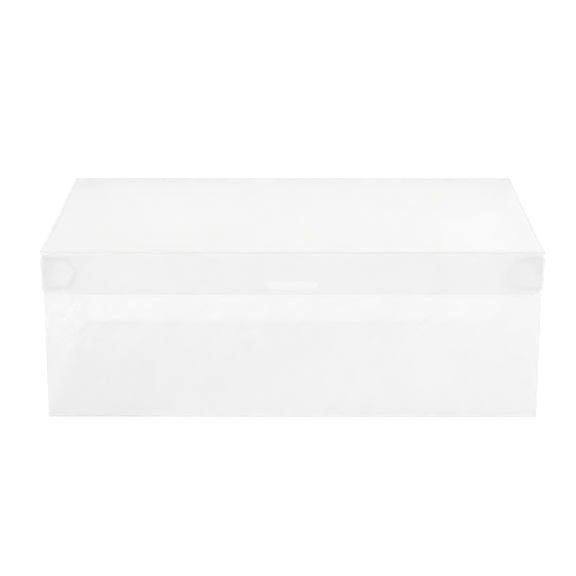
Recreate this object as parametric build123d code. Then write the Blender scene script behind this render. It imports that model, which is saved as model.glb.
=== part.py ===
"""Foldable shoe box with a lift-off lid, die-cut from clear polypropylene sheet.

The box is two flat blanks folded up into trays: a base (floor and four walls) and a lid
(top panel and four rims). Each fold is a living hinge, pressed as a thin line into the
sheet. The short walls and rims carry tabs at their vertical edges, which fold round the
corners and tuck behind the long walls and rims. Every flat panel, tab and living hinge
is a node of its own, so that the blanks can be taken apart at their folds.

Frame: millimetres, +Z up, X along the length, -Y towards the front, and the origin at the
centre of the underside, on the surface that the box stands on.
"""

import os

from build123d import *

# Driving dimensions, in millimetres.
LENGTH = 320.0  # over the lid, along X
WIDTH = 200.0  # over the lid, along Y
HEIGHT = 112.0  # from the floor's underside to the lid's top
SHEET = 0.5  # sheet thickness
LONG_RIM_DEPTH = 29.3  # front and back rims of the lid, from its top
END_RIM_DEPTH = 27.0  # left and right rims of the lid, from its top
TUCK_GAP = 0.1  # between a tab and the wall or rim that it is tucked behind
SLIP_GAP = 0.2  # between a tab of the lid and the wall of the base
LID_REST_GAP = 0.3  # between the walls' top edges and the lid's top panel
FOLD_GAP = 0.02  # running clearance between a moving rim and its living hinge

# Long rims: side edges that lean inwards, round lower corners, and a slot in the front one.
RIM_END_INSET = 0.7
RIM_END_TAPER = 1.6
RIM_CORNER_RADIUS = 5.0
END_RIM_CORNER_RADIUS = 1.0
SLOT_LENGTH = 31.0
SLOT_HEIGHT = 3.6
SLOT_ABOVE_RIM_EDGE = 6.8  # slot's middle over the front rim's lower edge

# Tabs of the lid: a straight neck with a half-round end.
RIM_TAB_REACH = 23.0
RIM_TAB_HEIGHT = 21.0
RIM_TAB_DROP = 15.0  # tab's middle below the lid's top

# Tabs of the base: a narrow flange along the corner with a half-round lobe near its top.
FLANGE_WIDTH = 6.0
FLANGE_LOW = 2.0
FLANGE_HIGH = 108.0
LOBE_RADIUS = 16.0
LOBE_MIDDLE = 84.6

WALL_CORNER_RADIUS = 2.0

# Derived dimensions.
HALF_SHEET = SHEET / 2
BASE_INSET = 2 * SHEET + TUCK_GAP + SLIP_GAP  # from the lid's outer face to the base's
BASE_LENGTH = LENGTH - 2 * BASE_INSET
BASE_WIDTH = WIDTH - 2 * BASE_INSET
WALL_TOP = HEIGHT - SHEET - LID_REST_GAP
TAB_INSET = SHEET + TUCK_GAP + HALF_SHEET  # from a long outer face to a tab's mid-plane

LID_PLANE_Z = HEIGHT - HALF_SHEET
LID_HINGE_X = LENGTH / 2 - HALF_SHEET
LID_HINGE_Y = WIDTH / 2 - HALF_SHEET
RIM_TAB_Y = WIDTH / 2 - TAB_INSET
RIM_TOP = HEIGHT - SHEET - FOLD_GAP

FLOOR_PLANE_Z = HALF_SHEET
BASE_HINGE_X = BASE_LENGTH / 2 - HALF_SHEET
BASE_HINGE_Y = BASE_WIDTH / 2 - HALF_SHEET
WALL_TAB_Y = BASE_WIDTH / 2 - TAB_INSET

SIDES = {"left": -1, "right": 1}
FACES = {"front": -1, "back": 1}


def facing_y(y):
    """Plane across Y: its own x and y are the part's X and Z."""
    return Plane(origin=(0, y, 0), x_dir=(1, 0, 0), z_dir=(0, -1, 0))


def facing_x(x):
    """Plane across X: its own x and y are the part's Y and Z."""
    return Plane(origin=(x, 0, 0), x_dir=(0, 1, 0), z_dir=(1, 0, 0))


def sheet(outline, plane):
    """A flat piece of the sheet, with its mid-plane on the given plane."""
    return extrude(plane * outline, amount=HALF_SHEET, both=True)


def rectangle(low_x, high_x, low_y, high_y):
    """A rectangle between two corners."""
    middle = Location(((low_x + high_x) / 2, (low_y + high_y) / 2))
    return middle * Rectangle(high_x - low_x, high_y - low_y)


def rounded_at(outline, height, radius):
    """The outline with its corners at one height rounded."""
    corners = [v for v in outline.vertices() if abs(v.Y - height) < 1e-6]
    return fillet(corners, radius)


def living_hinge(start, end):
    """A fold line: a round bead of the sheet's thickness, on the axis that the fold turns about."""
    axis = Vector(*end) - Vector(*start)
    return extrude(Plane(origin=start, z_dir=axis) * Circle(HALF_SHEET), amount=axis.length)


def horizontal_panel(half_length, half_width, z):
    """The floor or the lid's top, between the living hinges at its edges."""
    return sheet(rectangle(-half_length, half_length, -half_width, half_width), Plane.XY.offset(z))


def long_wall(face):
    """Front or back wall of the base."""
    outline = rectangle(-BASE_LENGTH / 2, BASE_LENGTH / 2, SHEET, WALL_TOP)
    outline = rounded_at(outline, WALL_TOP, WALL_CORNER_RADIUS)
    return sheet(outline, facing_y(face * BASE_HINGE_Y))


def end_wall(side):
    """Left or right wall of the base, between the living hinges of its two tabs."""
    half = WALL_TAB_Y - HALF_SHEET
    outline = rectangle(-half, half, SHEET, WALL_TOP)
    outline = rounded_at(outline, WALL_TOP, WALL_CORNER_RADIUS)
    return sheet(outline, facing_x(side * BASE_HINGE_X))


def wall_tab(face, side):
    """Tab of an end wall: a flange along the corner with a half-round lobe, behind a long wall."""
    crease = BASE_HINGE_X - HALF_SHEET
    flange_edge = crease - FLANGE_WIDTH
    flange = rectangle(flange_edge, crease, FLANGE_LOW, FLANGE_HIGH)
    lobe = Location((flange_edge, LOBE_MIDDLE)) * Circle(LOBE_RADIUS)
    lobe &= rectangle(flange_edge - LOBE_RADIUS, flange_edge, 0, HEIGHT)
    outline = flange + lobe
    if side < 0:
        outline = mirror(outline, about=Plane.YZ)
    return sheet(outline, facing_y(face * WALL_TAB_Y))


def long_rim(face):
    """Front or back rim of the lid. The front one has a finger slot near its lower edge."""
    bottom = HEIGHT - LONG_RIM_DEPTH
    top_half = LENGTH / 2 - RIM_END_INSET
    bottom_half = top_half - RIM_END_TAPER
    corners = [(-top_half, RIM_TOP), (top_half, RIM_TOP), (bottom_half, bottom), (-bottom_half, bottom)]
    outline = make_face(Polyline(*corners, close=True))
    outline = rounded_at(outline, bottom, RIM_CORNER_RADIUS)
    if face == FACES["front"]:
        outline -= Location((0, bottom + SLOT_ABOVE_RIM_EDGE)) * SlotOverall(SLOT_LENGTH, SLOT_HEIGHT)
    return sheet(outline, facing_y(face * LID_HINGE_Y))


def end_rim(side):
    """Left or right rim of the lid, between the living hinges of its two tabs."""
    bottom = HEIGHT - END_RIM_DEPTH
    half = RIM_TAB_Y - HALF_SHEET
    outline = rounded_at(rectangle(-half, half, bottom, RIM_TOP), bottom, END_RIM_CORNER_RADIUS)
    return sheet(outline, facing_x(side * LID_HINGE_X))


def rim_tab(face, side):
    """Tab of an end rim: a straight neck with a half-round end, behind a long rim."""
    crease = LID_HINGE_X - HALF_SHEET
    middle = HEIGHT - RIM_TAB_DROP
    radius = RIM_TAB_HEIGHT / 2
    neck_end = crease - (RIM_TAB_REACH - radius)
    outline = rectangle(neck_end, crease, middle - radius, middle + radius)
    outline += Location((neck_end, middle)) * Circle(radius)
    if side < 0:
        outline = mirror(outline, about=Plane.YZ)
    return sheet(outline, facing_y(face * RIM_TAB_Y))


def base_nodes():
    """Every piece of the base, by node name."""
    nodes = {
        "floor_panel": horizontal_panel(BASE_HINGE_X - HALF_SHEET, BASE_HINGE_Y - HALF_SHEET, FLOOR_PLANE_Z)
    }
    half_x = BASE_HINGE_X - HALF_SHEET
    half_y = WALL_TAB_Y - HALF_SHEET
    for name, face in FACES.items():
        y = face * BASE_HINGE_Y
        nodes[f"{name}_wall"] = long_wall(face)
        nodes[f"floor_hinge_{name}"] = living_hinge((-half_x, y, FLOOR_PLANE_Z), (half_x, y, FLOOR_PLANE_Z))
    for name, side in SIDES.items():
        x = side * BASE_HINGE_X
        nodes[f"{name}_wall"] = end_wall(side)
        nodes[f"floor_hinge_{name}"] = living_hinge((x, -half_y, FLOOR_PLANE_Z), (x, half_y, FLOOR_PLANE_Z))
    for face_name, face in FACES.items():
        for side_name, side in SIDES.items():
            x, y = side * BASE_HINGE_X, face * WALL_TAB_Y
            nodes[f"wall_tab_{face_name}_{side_name}"] = wall_tab(face, side)
            low, high = (x, y, FLANGE_LOW), (x, y, FLANGE_HIGH)
            nodes[f"wall_tab_hinge_{face_name}_{side_name}"] = living_hinge(low, high)
    return nodes


def lid_nodes():
    """Every piece of the lid, by node name."""
    nodes = {"lid_panel": horizontal_panel(LID_HINGE_X - HALF_SHEET, LID_HINGE_Y - HALF_SHEET, LID_PLANE_Z)}
    half_x = LENGTH / 2 - RIM_END_INSET
    half_y = RIM_TAB_Y - HALF_SHEET
    for name, face in FACES.items():
        y = face * LID_HINGE_Y
        nodes[f"lid_{name}_rim"] = long_rim(face)
        nodes[f"lid_hinge_{name}"] = living_hinge((-half_x, y, LID_PLANE_Z), (half_x, y, LID_PLANE_Z))
    for name, side in SIDES.items():
        x = side * LID_HINGE_X
        nodes[f"lid_{name}_rim"] = end_rim(side)
        nodes[f"lid_hinge_{name}"] = living_hinge((x, -half_y, LID_PLANE_Z), (x, half_y, LID_PLANE_Z))
    middle = HEIGHT - RIM_TAB_DROP
    low, high = middle - RIM_TAB_HEIGHT / 2, middle + RIM_TAB_HEIGHT / 2
    for face_name, face in FACES.items():
        for side_name, side in SIDES.items():
            x, y = side * LID_HINGE_X, face * RIM_TAB_Y
            nodes[f"rim_tab_{face_name}_{side_name}"] = rim_tab(face, side)
            nodes[f"rim_tab_hinge_{face_name}_{side_name}"] = living_hinge((x, y, low), (x, y, high))
    return nodes


os.makedirs("parts", exist_ok=True)
for node, shape in {**base_nodes(), **lid_nodes()}.items():
    export_step(shape, f"parts/{node}.step")
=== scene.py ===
"""Looks of the folding shoe box: two blanks of clear ribbed polypropylene, folded into a base and a lid.

Every panel, tab and living hinge of the CAD model gets a finer mesh of its own, in the same place:
a sheet with diagonal ribs, a slight bow and rounded cut edges, or a pressed fold along its joint.
The box's lengths are in millimetres until a mesh is written, in metres.
"""

import math

import bmesh
import bpy
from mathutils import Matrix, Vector, noise


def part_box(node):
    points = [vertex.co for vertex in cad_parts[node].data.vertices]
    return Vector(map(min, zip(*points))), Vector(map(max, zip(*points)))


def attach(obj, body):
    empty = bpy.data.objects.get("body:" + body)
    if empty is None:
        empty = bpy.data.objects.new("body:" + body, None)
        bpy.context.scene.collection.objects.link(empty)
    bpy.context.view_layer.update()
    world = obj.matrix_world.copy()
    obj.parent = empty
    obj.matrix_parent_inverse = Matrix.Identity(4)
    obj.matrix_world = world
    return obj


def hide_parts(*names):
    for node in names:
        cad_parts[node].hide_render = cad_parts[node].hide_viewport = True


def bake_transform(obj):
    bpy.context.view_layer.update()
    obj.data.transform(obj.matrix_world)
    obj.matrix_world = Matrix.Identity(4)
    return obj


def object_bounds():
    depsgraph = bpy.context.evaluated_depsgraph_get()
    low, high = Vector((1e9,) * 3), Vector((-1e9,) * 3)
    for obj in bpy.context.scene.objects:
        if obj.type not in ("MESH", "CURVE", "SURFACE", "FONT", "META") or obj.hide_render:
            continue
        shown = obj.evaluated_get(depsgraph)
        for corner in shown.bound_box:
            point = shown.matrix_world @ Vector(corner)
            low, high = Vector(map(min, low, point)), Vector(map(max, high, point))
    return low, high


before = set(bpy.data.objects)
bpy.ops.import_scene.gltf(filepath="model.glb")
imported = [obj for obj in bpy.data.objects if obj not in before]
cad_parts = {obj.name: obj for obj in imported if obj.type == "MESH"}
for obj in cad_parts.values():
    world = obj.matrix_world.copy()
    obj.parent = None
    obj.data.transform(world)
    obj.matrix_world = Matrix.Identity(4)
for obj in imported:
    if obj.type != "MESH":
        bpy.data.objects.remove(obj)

cad_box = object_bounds()

MM = 0.001
SHEET = 0.5  # thickness of the sheet, as in the CAD model

# Ribs of the sheet, and how far a panel strays from flat.
RIB_PITCH = 2.2
RIB_HEIGHT = 0.025
RIB_SAMPLES = 4  # mesh strips in one rib
RIB_ROW = 16.0  # length of a mesh face along a rib
RIB_MAP = "ribs"  # UV map that counts ribs
WAVE_HEIGHT = 0.12
WAVE_LENGTH = 70.0
CALM_U = 25.0  # the waves fade out this far from a panel's edges along u
CALM_V = 12.0  # and along v
FLOOR_BOW = -0.5  # outwards, at the middle of the panel
LID_BOW = -0.9
WALL_BOW = 0.5
WALL_BOW_SKEW = 0.8  # under 1 puts the strongest bow below the middle
RIM_BOW = -0.15

# Cut edges and folds.
EDGE_ROUND = 0.08
EDGE_BAND = 0.7  # smooth border pressed by the die
RIM_TAB_BAND = 2.4
WALL_TAB_BAND = 1.0
FOLD_LEG = 1.3  # how far a pressed fold reaches along each of its two panels
FOLD_ROUND = 0.42
FOLD_SLIM = 0.36  # thickness left at the bottom of the fold's groove
FOLD_GAP = 0.02  # between a fold and each of its panels
SHOULDER = 0.72  # share of a leg, from the corner, to where its outer face has sunk
SHOULDER_SINK = 0.03
GROOVE_LIP = 0.25  # from a panel's inner face to the lip of the groove
GROOVE_SIDES = (0.06, 0.18)  # steps in the groove's side, beyond the thickness left
MITRE_LIMIT = 0.35  # keeps the edges' rounding small in sharp corners
SHARP_ANGLE = math.radians(32)

# Shapes that the CAD boxes don't give.
WALL_CORNER = 2.0
RIM_TAPER = 1.6
RIM_CORNER = 5.0
END_RIM_CORNER = 1.0
SLOT_LENGTH = 31.0
SLOT_HEIGHT = 3.6
SLOT_ABOVE_EDGE = 6.8
FLANGE_WIDTH = 6.0
LOBE_RADIUS = 16.0
LOBE_MIDDLE = 84.6

ARC_STEP = math.radians(7)

# The plastic's surface. The scales are per metre.
SATIN = 0.305  # roughness of the ribbed, pressed and cut faces
CLOUD_SCALE = 14  # mottling
HAZE_SCALE = 45  # uneven sheen
SHEEN_SPREAD = 0.02
GRAIN_SCALE = 1500
GRAIN_STRENGTH = 0.2
GRAIN_DEPTH = 0.00004  # metres
REFRACTION = 1.35
PAINTED_GLOW = 0.02  # painted glow: every sheet gives off this light of its own, standing in for light that a cloudy sheet gathers along its plane

# Light table, studio light and camera. Places and sizes are in metres, but for the camera's own.
TABLE_HALF = 30.0
TABLE_DROP = 0.00005  # below the box, so that the two don't share a surface
TABLE_GREY = 0.2
TABLE_ROUGHNESS = 0.9
TABLE_GLOW = 0.85
STUDIO_LEVEL = 0.99
STUDIO_LEAN = (0.04, 0.0, 0.07)  # more light from the right and from above
LAMP_FACING = (0.45, 0.85, 0.28)
LAMP_EDGE = 0.8  # cosine of the angle from its middle to its edge
LAMP_LEVEL = 0.2
SENSOR_WIDTH = 36.0  # millimetres, as its lens
LENS = 114.8
EYE = (0.0013, -1.2176, 0.4281)
LOOK_DOWN = 16.92  # degrees
LOOK_LEFT = 0.21  # degrees


# ---------------------------------------------------------------- materials


def grey(level):
    """A neutral colour."""
    return (level, level, level)


def node_tree(name):
    """A new material, its node tree and its Principled shader."""
    material = bpy.data.materials.new(name)
    material.use_nodes = True
    tree = material.node_tree
    return material, tree, tree.nodes["Principled BSDF"]


def add_noise(tree, scale, detail):
    """A noise texture in the object's own frame."""
    where = tree.nodes.new("ShaderNodeTexCoord")
    texture = tree.nodes.new("ShaderNodeTexNoise")
    texture.inputs["Scale"].default_value = scale
    texture.inputs["Detail"].default_value = detail
    tree.links.new(where.outputs["Object"], texture.inputs["Vector"])
    return texture


def add_ramp(tree, source, low, high):
    """A ramp from one colour to another, over the middle of the source's range."""
    ramp = tree.nodes.new("ShaderNodeValToRGB")
    first, last = ramp.color_ramp.elements
    first.position, first.color = 0.35, (*low, 1)
    last.position, last.color = 0.65, (*high, 1)
    tree.links.new(source, ramp.inputs["Fac"])
    return ramp


def add_range(tree, source, low, high, from_low=0.0):
    """The source, from from_low to 1, spread between two values."""
    spread = tree.nodes.new("ShaderNodeMapRange")
    spread.inputs["From Min"].default_value = from_low
    spread.inputs["To Min"].default_value = low
    spread.inputs["To Max"].default_value = high
    tree.links.new(source, spread.inputs["Value"])
    return spread


def add_math(tree, operation, source, number=0.0):
    """A calculation on the source and a number."""
    step = tree.nodes.new("ShaderNodeMath")
    step.operation = operation
    step.inputs[1].default_value = number
    tree.links.new(source, step.inputs[0])
    return step


def add_ribs(tree, colour, depth):
    """The colour, deepened along the middle of each rib. The sheet's UV map counts ribs in u."""
    where = tree.nodes.new("ShaderNodeUVMap")
    where.uv_map = RIB_MAP
    parts = tree.nodes.new("ShaderNodeSeparateXYZ")
    tree.links.new(where.outputs["UV"], parts.inputs["Vector"])
    turn = add_math(tree, "MULTIPLY", parts.outputs["X"], 2 * math.pi)
    wave = add_math(tree, "COSINE", turn.outputs["Value"])
    shade = add_range(tree, wave.outputs["Value"], 1.0, 1.0 - depth, from_low=-1.0)
    scaled = tree.nodes.new("ShaderNodeVectorMath")
    scaled.operation = "SCALE"
    tree.links.new(colour, scaled.inputs["Vector"])
    tree.links.new(shade.outputs["Result"], scaled.inputs["Scale"])
    return scaled.outputs["Vector"]


def plastic(name, level, alpha, mottle=0.01, rough=SATIN, ribs=0.0, clear=0.8):
    """Clear polypropylene: cloudy, with a fine grain, faint mottling and an uneven sheen. Light passes
    it partly straight and partly scattered, so that what lies close behind it shows most. Where it
    has been pressed or cut it whitens, and is less clear. level is its grey, which the mottling
    deepens by up to mottle. alpha is the share of the light that doesn't pass straight, clear is the
    share of that which comes through scattered, and ribs is how much deeper the colour is along the
    middle of each rib."""
    material, tree, shader = node_tree(name)
    cloud = add_noise(tree, CLOUD_SCALE, 3)
    tint = add_ramp(tree, cloud.outputs["Fac"], grey(level - mottle), grey(level))
    colour = tint.outputs["Color"]
    if ribs:
        colour = add_ribs(tree, colour, ribs)
    tree.links.new(colour, shader.inputs["Base Color"])
    haze = add_noise(tree, HAZE_SCALE, 4)
    sheen = add_range(tree, haze.outputs["Fac"], rough - SHEEN_SPREAD, rough + SHEEN_SPREAD)
    tree.links.new(sheen.outputs["Result"], shader.inputs["Roughness"])
    grain = add_noise(tree, GRAIN_SCALE, 2)
    bump = tree.nodes.new("ShaderNodeBump")
    bump.inputs["Strength"].default_value = GRAIN_STRENGTH
    bump.inputs["Distance"].default_value = GRAIN_DEPTH
    tree.links.new(grain.outputs["Fac"], bump.inputs["Height"])
    tree.links.new(bump.outputs["Normal"], shader.inputs["Normal"])
    shader.inputs["IOR"].default_value = REFRACTION
    shader.inputs["Transmission Weight"].default_value = clear
    shader.inputs["Alpha"].default_value = alpha
    # Painted glow: the sheet gives off a little light of its own, though it is no lamp.
    shader.inputs["Emission Color"].default_value = (1, 1, 1, 1)
    shader.inputs["Emission Strength"].default_value = PAINTED_GLOW
    return material


SHEET_LOOK = plastic("ribbed_sheet", 0.80, 0.4, ribs=0.03)
BORDER_LOOK = plastic("die_pressed_border", 0.90, 0.4, clear=0.4)
BACK_LOOK = plastic("smooth_side", 0.94, 0.2, rough=0.08)
EDGE_LOOK = plastic("cut_edge", 0.93, 0.4, mottle=0.02, clear=0.25)
# Painted light: the lid's sheet is lighter and cloudier than the walls', on both its sides, for the
# light falling on its top from above.
LIT_LID_LOOK = plastic("ribbed_lid_sheet_painted_light", 0.89, 0.55, ribs=0.02)
LIT_LID_BACK_LOOK = plastic("smooth_lid_side_painted_light", 0.95, 0.5, rough=0.12)
# Painted shade: the floor's sheet is much darker than the walls', for the shade it lies in on the table.
SHADED_FLOOR_LOOK = plastic("ribbed_floor_sheet_painted_shade", 0.57, 0.43, ribs=0.03)
# Painted shade: the end walls are darker than the front and back walls.
SHADED_END_WALL_LOOK = plastic("ribbed_end_wall_painted_shade", 0.66, 0.4, ribs=0.03)
# Painted light: the end rims and the tabs are lighter and clearer than the other panels, to lift the
# shade at the box's corners.
LIT_END_RIM_LOOK = plastic("ribbed_end_rim_painted_light", 0.94, 0.3, ribs=0.03)
LIT_TAB_LOOK = plastic("tab_sheet_painted_light", 0.99, 0.12, ribs=0.05)
LIT_TAB_BACK_LOOK = plastic("smooth_tab_side_painted_light", 0.99, 0.07, rough=0.08)
# Painted shade: the rim tab's border is darker and cloudier, a ring of shade round the tab's edge where
# it lies against the rim.
SHADED_RIM_TAB_BORDER_LOOK = plastic("rim_tab_border_painted_shade", 0.845, 0.6, mottle=0.02, clear=0.25)
# Painted light: the wall tabs' border is lighter and clearer, to lift the shade at the corners.
LIT_WALL_TAB_BORDER_LOOK = plastic("wall_tab_border_painted_light", 0.97, 0.2, clear=0.6)
# The folds whiten where pressed. Their greys also differ by place: the lid's front and back folds and
# the floor's front fold are darker, painted shade; the lid's end folds and the wall tabs' folds are
# lighter, painted light.
SHADED_LONG_FOLD_LOOK = plastic("pressed_long_fold_painted_shade", 0.89, 0.65, clear=0.25)
LIT_END_FOLD_LOOK = plastic("pressed_end_fold_painted_light", 0.91, 0.5, clear=0.25)
SHADED_FRONT_FOLD_LOOK = plastic("pressed_front_fold_painted_shade", 0.86, 0.48, clear=0.25)
FLOOR_FOLD_LOOK = plastic("pressed_floor_fold", 0.94, 0.45, clear=0.25)
RIM_TAB_FOLD_LOOK = plastic("pressed_rim_tab_fold", 0.93, 0.45, clear=0.25)
LIT_WALL_TAB_FOLD_LOOK = plastic("pressed_wall_tab_fold_painted_light", 0.97, 0.3, clear=0.4)

# A panel's looks, for its four kinds of face: the ribbed side, the smooth border that the die
# presses round it, the cut edges, and the smooth inner side.
RIBBED, BORDER, CUT, SMOOTH = range(4)
PANEL_LOOKS = [SHEET_LOOK, BORDER_LOOK, EDGE_LOOK, BACK_LOOK]
LIT_LID_LOOKS = [LIT_LID_LOOK, BORDER_LOOK, EDGE_LOOK, LIT_LID_BACK_LOOK]
SHADED_END_WALL_LOOKS = [SHADED_END_WALL_LOOK, BORDER_LOOK, EDGE_LOOK, BACK_LOOK]
LIT_END_RIM_LOOKS = [LIT_END_RIM_LOOK, BORDER_LOOK, EDGE_LOOK, LIT_TAB_BACK_LOOK]
SHADED_FLOOR_LOOKS = [SHADED_FLOOR_LOOK, BORDER_LOOK, EDGE_LOOK, BACK_LOOK]
# On the rim tabs the border carries a painted shade ring, and on the wall tabs a painted light.
LIT_AND_SHADED_RIM_TAB_LOOKS = [LIT_TAB_LOOK, SHADED_RIM_TAB_BORDER_LOOK, EDGE_LOOK, LIT_TAB_BACK_LOOK]
LIT_WALL_TAB_LOOKS = [LIT_TAB_LOOK, LIT_WALL_TAB_BORDER_LOOK, EDGE_LOOK, LIT_TAB_BACK_LOOK]


# ---------------------------------------------------------------- outlines, in a panel's own plane


def arc(centre, radius, start, end):
    """Points on an arc, from one angle in degrees to another."""
    first, last = math.radians(start), math.radians(end)
    steps = max(2, math.ceil(abs(last - first) / ARC_STEP))
    angles = [first + (last - first) * i / steps for i in range(steps + 1)]
    return [(centre[0] + radius * math.cos(a), centre[1] + radius * math.sin(a)) for a in angles]


def rounded(points, radii):
    """A polygon with each corner rounded to its radius, which may be 0."""
    outline = []
    for i, (corner, radius) in enumerate(zip(points, radii)):
        here = Vector(corner)
        if not radius:
            outline.append(tuple(here))
            continue
        before = (Vector(points[i - 1]) - here).normalized()
        after = (Vector(points[(i + 1) % len(points)]) - here).normalized()
        half = before.angle(after) / 2
        middle = here + (before + after).normalized() * (radius / math.sin(half))
        start = here + before * (radius / math.tan(half)) - middle
        turn = math.pi - 2 * half
        sign = 1 if before.cross(after) < 0 else -1
        steps = max(2, math.ceil(turn / ARC_STEP))
        for k in range(steps + 1):
            angle = sign * turn * k / steps
            cos, sin = math.cos(angle), math.sin(angle)
            u = middle.x + start.x * cos - start.y * sin
            v = middle.y + start.x * sin + start.y * cos
            outline.append((u, v))
    return outline


def rectangle(low_u, high_u, low_v, high_v, low_round=0, high_round=0):
    """A rectangle with its lower and upper corners rounded."""
    points = [(low_u, low_v), (high_u, low_v), (high_u, high_v), (low_u, high_v)]
    return rounded(points, [low_round, low_round, high_round, high_round])


def slot_outline(centre_v):
    """The finger slot in the middle of the front rim."""
    half, radius = (SLOT_LENGTH - SLOT_HEIGHT) / 2, SLOT_HEIGHT / 2
    return arc((half, centre_v), radius, -90, 90) + arc((-half, centre_v), radius, 90, 270)


def mirrored(points):
    """The outline mirrored in u, still anticlockwise."""
    return [(-u, v) for u, v in reversed(points)]


# ---------------------------------------------------------------- the sheet's panels


def flat_mesh(outline, holes, band, folded_at):
    """The outline as flat faces, with a border band along its edges. An edge with a fold on it,
    folded_at from the middle, has no band."""
    bm = bmesh.new()
    edges = []
    for loop in [outline, *holes]:
        verts = [bm.verts.new((u, v, 0)) for u, v in loop]
        edges += [bm.edges.new((verts[i - 1], verts[i])) for i in range(len(verts))]
    bmesh.ops.triangle_fill(bm, edges=edges, use_beauty=True, normal=(0, 0, 1))
    inner = [e for e in bm.edges if not e.is_boundary]  # between the fill's triangles
    bmesh.ops.dissolve_limit(bm, angle_limit=0.01, verts=[], edges=inner)
    if any(f.normal.z < 0 for f in bm.faces):
        bmesh.ops.reverse_faces(bm, faces=bm.faces)
    style = {"thickness": band, "use_even_offset": True, "use_boundary": True}
    ring = bmesh.ops.inset_region(bm, faces=bm.faces, **style)
    for face in ring["faces"]:
        if abs(face.calc_center_median().x) < folded_at - band:
            face.material_index = BORDER
    return bm


def cut_rows(bm, direction, pitch):
    """Cuts the flat mesh by evenly spaced parallel lines across a direction."""
    across = [v.co.dot(direction) for v in bm.verts]
    margin = 0.01
    first = math.ceil(min(across) / pitch + margin)
    last = math.floor(max(across) / pitch - margin)
    ahead = list(bm.faces)  # past the lines that are cut
    for k in range(first, last + 1):
        edges = {e for f in ahead for e in f.edges}
        verts = {v for f in ahead for v in f.verts}
        line = direction * (k * pitch)
        geom = [*ahead, *edges, *verts]
        cut = bmesh.ops.bisect_plane(bm, geom=geom, dist=1e-5, plane_co=line, plane_no=direction)
        parts = [g for g in cut["geom"] if isinstance(g, bmesh.types.BMFace)]
        ahead = [f for f in parts if f.calc_center_median().dot(direction) > k * pitch]


def inset_moves(bm):
    """For each boundary vertex, its move in the plane for an inset of one."""
    normals = {}
    for edge in bm.edges:
        if edge.is_boundary:
            loop = edge.link_loops[0]
            along = (loop.link_loop_next.vert.co - loop.vert.co).normalized()
            inward = Vector((-along.y, along.x, 0))
            for vert in edge.verts:
                normals.setdefault(vert, []).append(inward)
    moves = {}
    for vert, inwards in normals.items():
        total = sum(inwards, Vector())
        moves[vert] = total.normalized() / max(MITRE_LIMIT, total.length / len(inwards))
    return moves


def ease(value, width):
    """0 at an edge, rising smoothly to 1 at the given width."""
    share = min(1.0, max(0.0, value / width))
    return share * share * (3 - 2 * share)


def panel_relief(outline, bow, slice_at):
    """A panel's departure from flat: its bow, and waves that fade out towards its edges. slice_at
    picks the waves."""
    us, vs = [u for u, v in outline], [v for u, v in outline]
    u_low, u_high, v_low, v_high = min(us), max(us), min(vs), max(vs)

    def height(u, v, out):
        """How far from flat a point lies that is out from the sheet's mid-plane."""
        wave = noise.noise(Vector((u, v, slice_at)) / WAVE_LENGTH) * WAVE_HEIGHT
        calm_u = min(ease(u - u_low, CALM_U), ease(u_high - u, CALM_U))
        calm_v = min(ease(v - v_low, CALM_V), ease(v_high - v, CALM_V))
        return out + bow(u, v) + wave * min(calm_u, calm_v)

    return height


def cut_edge_faces(bm, outer, rings, inner):
    """The faces round a panel's cut edges, from its outer side to its inner: a rounding, the cut
    and another rounding."""
    faces = []
    for edge in bm.edges:
        if not edge.is_boundary:
            continue
        loop = edge.link_loops[0]
        a, b = loop.vert, loop.link_loop_next.vert
        stack = [(outer[a], outer[b]), (rings[a][0], rings[b][0])]
        stack += [(rings[a][1], rings[b][1]), (inner[a], inner[b])]
        for (a0, b0), (a1, b1) in zip(stack, stack[1:]):
            faces.append([b0, a0, a1, b1])
    return faces


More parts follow.
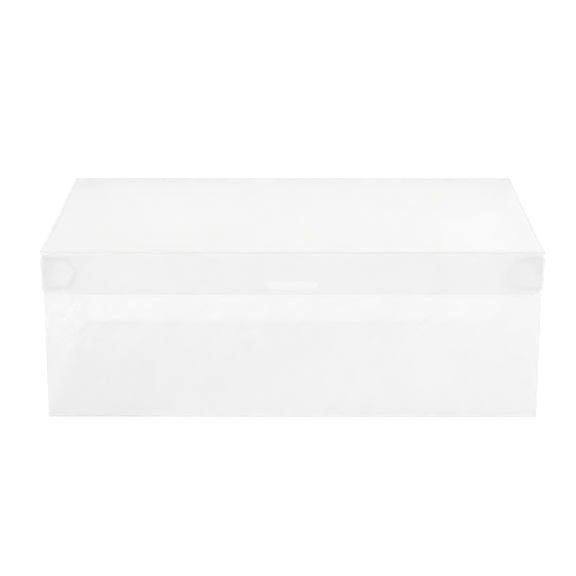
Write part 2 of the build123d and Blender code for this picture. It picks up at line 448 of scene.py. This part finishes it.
def sheet_piece(
    name, node, outline, slope, bow, holes=(), looks=PANEL_LOOKS, band=EDGE_BAND, folded_at=math.inf
):
    """A panel or tab in its CAD node's plane. slope is the ribs' direction, 1 for / and -1 for a
    line the other way. bow(u, v) is how far the sheet stands out from flat. band is the border's
    width, and folded_at is as in flat_mesh."""
    low, high = (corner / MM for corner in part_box(node))
    size = high - low
    axis = min(range(3), key=lambda i: size[i])
    u_axis, v_axis = [i for i in range(3) if i != axis]
    middle = (low + high) / 2
    box_middle = (cad_box[0] + cad_box[1]) / 2 / MM
    side = 1 if middle[axis] > box_middle[axis] else -1
    slice_at = 7 * axis + 31 * side  # opposite and neighbouring panels get different waves
    height = panel_relief(outline, bow, slice_at)
    bm = flat_mesh(outline, holes, band, folded_at)
    across = Vector((1, -slope, 0)).normalized()
    along = Vector((slope, 1, 0)).normalized()
    cut_rows(bm, across, RIB_PITCH / RIB_SAMPLES)
    cut_rows(bm, along, RIB_ROW)
    moves = inset_moves(bm)
    verts, rib_counts, faces, slots = [], [], [], []

    def place(u, v, out):
        """Adds a point, out from the sheet's mid-plane, and gives its number."""
        point = [0.0, 0.0, 0.0]
        point[u_axis], point[v_axis] = u, v
        point[axis] = middle[axis] + side * height(u, v, out)
        verts.append(Vector(point) * MM)
        rib_counts.append(((u * across.x + v * across.y) / RIB_PITCH, v / RIB_PITCH))
        return len(verts) - 1

    banded = {v for f in bm.faces if f.material_index == BORDER for v in f.verts}
    outer, inner, rings = {}, {}, {}
    for vert in bm.verts:
        inset = moves.get(vert, Vector()) * EDGE_ROUND
        turn = 2 * math.pi * vert.co.dot(across) / RIB_PITCH
        rib = 0 if vert in banded else RIB_HEIGHT * math.cos(turn)
        spot = vert.co + inset
        outer[vert] = place(spot.x, spot.y, SHEET / 2 - RIB_HEIGHT + rib)
        inner[vert] = place(spot.x, spot.y, -SHEET / 2)
    for vert in moves:
        rings[vert] = (
            place(vert.co.x, vert.co.y, SHEET / 2 - RIB_HEIGHT - EDGE_ROUND),
            place(vert.co.x, vert.co.y, EDGE_ROUND - SHEET / 2),
        )
    for face in bm.faces:
        faces.append([outer[v] for v in face.verts])
        faces.append([inner[v] for v in reversed(face.verts)])
        slots += [face.material_index, SMOOTH]
    cut_faces = cut_edge_faces(bm, outer, rings, inner)
    faces += cut_faces
    slots += [CUT] * len(cut_faces)
    bm.free()
    piece = finish_mesh(name, verts, faces, slots, looks)
    layer = piece.data.uv_layers.new(name=RIB_MAP)
    corner_counts = [rib_counts[loop.vertex_index] for loop in piece.data.loops]
    layer.uv.foreach_set("vector", [number for pair in corner_counts for number in pair])
    return piece


def finish_mesh(name, verts, faces, slots, materials):
    """An object from points, faces and their materials, with its normals outward."""
    mesh = bpy.data.meshes.new(name)
    mesh.from_pydata(verts, [], faces)
    for material in materials:
        mesh.materials.append(material)
    mesh.polygons.foreach_set("material_index", slots)
    bm = bmesh.new()
    bm.from_mesh(mesh)
    bmesh.ops.recalc_face_normals(bm, faces=bm.faces)
    bm.to_mesh(mesh)
    bm.free()
    mesh.shade_smooth()
    mesh.set_sharp_from_angle(angle=SHARP_ANGLE)
    piece = bpy.data.objects.new(name, mesh)
    bpy.context.scene.collection.objects.link(piece)
    return piece


# ---------------------------------------------------------------- folds


def fold_profile():
    """Cross-section of a fold, from its outer corner at the origin: one panel lies along -p, the
    other along -q."""
    leg, slim = FOLD_LEG, FOLD_SLIM
    corner = arc((-FOLD_ROUND, -FOLD_ROUND), FOLD_ROUND, 90, 0)
    bend = leg * SHOULDER
    outside = [(-leg, 0), (-bend, -SHOULDER_SINK), *corner, (-SHOULDER_SINK, -bend), (0, -leg)]
    lip = SHEET + GROOVE_LIP
    near, far = (slim + step for step in GROOVE_SIDES)
    inside = [(-SHEET, -leg), (-SHEET, -lip), (-near, -far), (-far, -near)]
    return outside + inside + [(-lip, -SHEET), (-leg, -SHEET)]


def fold_piece(name, corner, p_axis, q_axis, length_axis, span, look):
    """A fold's profile drawn out along an edge. corner is its outer corner, in millimetres, and
    p_axis and q_axis point out of the box there."""
    profile = fold_profile()
    low, high = span
    stations = max(2, math.ceil((high - low) / RIB_ROW))
    verts, faces = [], []
    for k in range(stations + 1):
        along = low + (high - low) * k / stations
        for p, q in profile:
            point = corner + p_axis * p + q_axis * q
            point[length_axis] = along
            verts.append(point * MM)
    count = len(profile)
    for k in range(stations):
        for i in range(count):
            j = (i + 1) % count
            faces.append([k * count + i, k * count + j, (k + 1) * count + j, (k + 1) * count + i])
    faces.append(list(range(count)))
    faces.append([stations * count + i for i in reversed(range(count))])
    slots = [0] * (len(faces) - 2) + [1, 1]  # the last two faces are its cut ends
    return finish_mesh(name, verts, faces, slots, [look, EDGE_LOOK])


# ---------------------------------------------------------------- the box's pieces


# Outer faces and tops, from the CAD boxes. The box is centred in X and in Y.
LID_X, LID_Y, LID_TOP = cad_box[1] / MM
BASE_X, BASE_Y, WALL_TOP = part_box("back_wall")[1] / MM
REACH = FOLD_LEG + FOLD_GAP  # from a fold's outer corner to the panel's edge

SIDES = {"left": -1, "right": 1}
FACES = {"front": -1, "back": 1}


def dome(half_u, half_v, height):
    """Bow of a panel held along all four edges."""
    return lambda u, v: height * (1 - (u / half_u) ** 2) * (1 - (v / half_v) ** 2)


def wall_bow(half_u, height, top):
    """Bow of a wall that is held along its foot and its two ends, with a free upper edge."""
    def bow(u, v):
        share = max(0.0, min(1.0, v / top))
        return height * (1 - (u / half_u) ** 2) * math.sin(math.pi * share ** WALL_BOW_SKEW)
    return bow


def rim_bow(half_u, height, top, depth):
    """Bow of a rim that hangs from its fold, strongest at the middle of its lower edge."""
    return lambda u, v: height * (1 - (u / half_u) ** 2) * max(0.0, (top - v) / depth)


def no_bow(u, v):
    """A tab is held flat between two panels."""
    return 0.0


def place_piece(piece, node, body):
    """Puts a piece on the body it rides on, and hides the CAD node that it stands for."""
    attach(piece, body)
    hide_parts(node)


def build_level_panels():
    """The base's floor and the lid's top."""
    floor_outline = rectangle(-BASE_X + REACH, BASE_X - REACH, -BASE_Y + REACH, BASE_Y - REACH)
    bow = dome(BASE_X, BASE_Y, FLOOR_BOW)
    floor = sheet_piece("floor_sheet", "floor_panel", floor_outline, -1, bow, looks=SHADED_FLOOR_LOOKS)
    place_piece(floor, "floor_panel", "base")
    top_outline = rectangle(-LID_X + REACH, LID_X - REACH, -LID_Y + REACH, LID_Y - REACH)
    bow = dome(LID_X, LID_Y, LID_BOW)
    top = sheet_piece("lid_sheet", "lid_panel", top_outline, 1, bow, looks=LIT_LID_LOOKS)
    place_piece(top, "lid_panel", "lid")


def build_long_sides():
    """The front and back walls and rims. The front rim has the finger slot."""
    for name, face in FACES.items():
        outline = rectangle(-BASE_X, BASE_X, REACH, WALL_TOP, high_round=WALL_CORNER)
        node = f"{name}_wall"
        bow = wall_bow(BASE_X, WALL_BOW, WALL_TOP)
        wall = sheet_piece(f"{node}_sheet", node, outline, -face, bow)
        place_piece(wall, node, "base")
        node = f"lid_{name}_rim"
        rim_low, rim_high = (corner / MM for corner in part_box(node))
        half = rim_high.x
        points = [(-half + RIM_TAPER, rim_low.z), (half - RIM_TAPER, rim_low.z)]
        points += [(half, LID_TOP - REACH), (-half, LID_TOP - REACH)]
        outline = rounded(points, [RIM_CORNER, RIM_CORNER, 0, 0])
        holes = [slot_outline(rim_low.z + SLOT_ABOVE_EDGE)] if name == "front" else []
        bow = rim_bow(half, RIM_BOW, LID_TOP, LID_TOP - rim_low.z)
        rim = sheet_piece(f"{node}_sheet", node, outline, -face, bow, holes=holes)
        place_piece(rim, node, node)


def build_ends():
    """The left and right walls and rims."""
    for name, side in SIDES.items():
        node = f"{name}_wall"
        wall_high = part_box(node)[1] / MM
        half = wall_high.y + SHEET - REACH
        outline = rectangle(-half, half, REACH, WALL_TOP, high_round=WALL_CORNER)
        bow = wall_bow(half, WALL_BOW, WALL_TOP)
        wall = sheet_piece(f"{node}_sheet", node, outline, -side, bow, looks=SHADED_END_WALL_LOOKS)
        place_piece(wall, node, "base")
        node = f"lid_{name}_rim"
        rim_low, rim_high = (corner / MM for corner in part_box(node))
        half = rim_high.y + SHEET - REACH
        outline = rectangle(-half, half, rim_low.z, LID_TOP - REACH, low_round=END_RIM_CORNER)
        bow = rim_bow(half, RIM_BOW, LID_TOP, LID_TOP - rim_low.z)
        rim = sheet_piece(f"{node}_sheet", node, outline, -side, bow, looks=LIT_END_RIM_LOOKS)
        place_piece(rim, node, node)


def build_tabs():
    """The corner tabs of the base and of the lid."""
    for face_name, face in FACES.items():
        for side_name, side in SIDES.items():
            corner = f"{face_name}_{side_name}"
            node = f"wall_tab_{corner}"
            low, high = (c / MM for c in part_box(node))
            edge = BASE_X - REACH
            lobe = BASE_X - SHEET - FLANGE_WIDTH
            outline = [(edge, low.z), (edge, high.z), (lobe, high.z)]
            outline += arc((lobe, LOBE_MIDDLE), LOBE_RADIUS, 90, 270) + [(lobe, low.z)]
            if side < 0:
                outline = mirrored(outline)
            style = {"looks": LIT_WALL_TAB_LOOKS, "band": WALL_TAB_BAND, "folded_at": edge}
            tab = sheet_piece(f"{node}_sheet", node, outline, face, no_bow, **style)
            place_piece(tab, node, "base")
            node = f"rim_tab_{corner}"
            low, high = (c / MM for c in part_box(node))
            radius, middle = (high.z - low.z) / 2, (high.z + low.z) / 2
            reach = high.x - low.x
            round_at = LID_X - SHEET - reach + radius
            edge = LID_X - REACH
            outline = [(edge, low.z), (edge, high.z), *arc((round_at, middle), radius, 90, 270)]
            if side < 0:
                outline = mirrored(outline)
            style = {"looks": LIT_AND_SHADED_RIM_TAB_LOOKS, "band": RIM_TAB_BAND, "folded_at": edge}
            tab = sheet_piece(f"{node}_sheet", node, outline, face, no_bow, **style)
            place_piece(tab, node, f"lid_{side_name}_rim")


def lengthwise(node, axis):
    """The span of a CAD node along one axis, in millimetres."""
    low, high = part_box(node)
    return low[axis] / MM, high[axis] / MM


def build_edge_folds():
    """The pressed folds round the floor and round the lid's top. The floor's ride on the base; the lid's
    are on no body.
    """
    up, down = Vector((0, 0, 1)), Vector((0, 0, -1))
    for name, sign in {**FACES, **SIDES}.items():
        across = 1 if name in FACES else 0
        out = Vector((0, 0, 0))
        out[across] = sign
        half = (BASE_X, BASE_Y)[across]
        node = f"floor_hinge_{name}"
        span = lengthwise(node, 1 - across)
        look = SHADED_FRONT_FOLD_LOOK if name == "front" else FLOOR_FOLD_LOOK
        fold = fold_piece(f"{node}_fold", out * half, out, down, 1 - across, span, look)
        place_piece(fold, node, "base")
        half = (LID_X, LID_Y)[across]
        node = f"lid_hinge_{name}"
        corner = out * half + up * LID_TOP
        span = lengthwise(node, 1 - across)
        look = SHADED_LONG_FOLD_LOOK if name in FACES else LIT_END_FOLD_LOOK
        fold = fold_piece(f"{node}_fold", corner, out, up, 1 - across, span, look)
        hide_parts(node)
        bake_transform(fold)


def build_tab_folds():
    """The pressed folds between the end walls or end rims and their tabs."""
    for face_name, face in FACES.items():
        for side_name, side in SIDES.items():
            out_x, out_y = Vector((side, 0, 0)), Vector((0, face, 0))
            wall_fold = ("wall", BASE_X, "base", LIT_WALL_TAB_FOLD_LOOK)
            rim_fold = ("rim", LID_X, f"lid_{side_name}_rim", RIM_TAB_FOLD_LOOK)
            for kind, half, body, look in (wall_fold, rim_fold):
                tab_low, tab_high = (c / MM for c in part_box(f"{kind}_tab_{face_name}_{side_name}"))
                y = tab_high.y if face > 0 else -tab_low.y
                node = f"{kind}_tab_hinge_{face_name}_{side_name}"
                corner = out_x * half + out_y * y
                span = lengthwise(node, 2)
                fold = fold_piece(f"{node}_fold", corner, out_x, out_y, 2, span, look)
                place_piece(fold, node, body)


build_level_panels()
build_long_sides()
build_ends()
build_tabs()
build_edge_folds()
build_tab_folds()


# ---------------------------------------------------------------- stage, light and camera


def build_light_table():
    """A pale floor, lit evenly from within like a product photographer's light table."""
    mesh = bpy.data.meshes.new("light_table")
    half = TABLE_HALF
    corners = [(-half, -half, 0), (half, -half, 0), (half, half, 0), (-half, half, 0)]
    mesh.from_pydata(corners, [], [(0, 1, 2, 3)])
    table = bpy.data.objects.new("light_table", mesh)
    table.location.z = -TABLE_DROP
    bpy.context.scene.collection.objects.link(table)
    material, _, shader = node_tree("light_table")
    shader.inputs["Base Color"].default_value = (*grey(TABLE_GREY), 1)
    shader.inputs["Roughness"].default_value = TABLE_ROUGHNESS
    shader.inputs["Specular IOR Level"].default_value = 0.0
    shader.inputs["Emission Color"].default_value = (1, 1, 1, 1)
    shader.inputs["Emission Strength"].default_value = TABLE_GLOW
    mesh.materials.append(material)


def add_facing(tree, direction):
    """How much each part of the sky lies in a direction, by their dot product."""
    where = tree.nodes.new("ShaderNodeTexCoord")
    facing = tree.nodes.new("ShaderNodeVectorMath")
    facing.operation = "DOT_PRODUCT"
    facing.inputs[1].default_value = direction
    tree.links.new(where.outputs["Generated"], facing.inputs[0])
    return facing


def build_world():
    """Even studio light: brighter from above and from the right, with a broad soft lamp behind the
    box on its right."""
    world = bpy.data.worlds.new("studio")
    bpy.context.scene.world = world
    world.use_nodes = True
    tree = world.node_tree
    background = tree.nodes["Background"]
    background.inputs["Color"].default_value = (1, 1, 1, 1)
    lean = add_facing(tree, STUDIO_LEAN)
    level = add_math(tree, "ADD", lean.outputs["Value"], STUDIO_LEVEL)
    facing = add_facing(tree, LAMP_FACING)
    lamp = add_range(tree, facing.outputs["Value"], 0.0, LAMP_LEVEL, from_low=LAMP_EDGE)
    total = add_math(tree, "ADD", level.outputs["Value"])
    tree.links.new(lamp.outputs["Result"], total.inputs[1])
    tree.links.new(total.outputs["Value"], background.inputs["Strength"])


def build_camera():
    """A long lens in front of the box, a little above it."""
    camera = bpy.data.cameras.new("camera")
    camera.sensor_width = SENSOR_WIDTH
    camera.lens = LENS
    eye = bpy.data.objects.new("camera", camera)
    eye.location = EYE
    eye.rotation_euler = (math.radians(90 - LOOK_DOWN), 0, math.radians(LOOK_LEFT))
    bpy.context.scene.collection.objects.link(eye)
    bpy.context.scene.camera = eye


build_light_table()
build_world()
build_camera()

scene = bpy.context.scene
scene.view_settings.view_transform = "Standard"
# Light passes many thin sheets on its way through the box, so it may bounce often.
scene.cycles.max_bounces = 40
scene.cycles.transmission_bounces = 40
scene.cycles.diffuse_bounces = 8
scene.cycles.glossy_bounces = 12
scene.cycles.transparent_max_bounces = 40
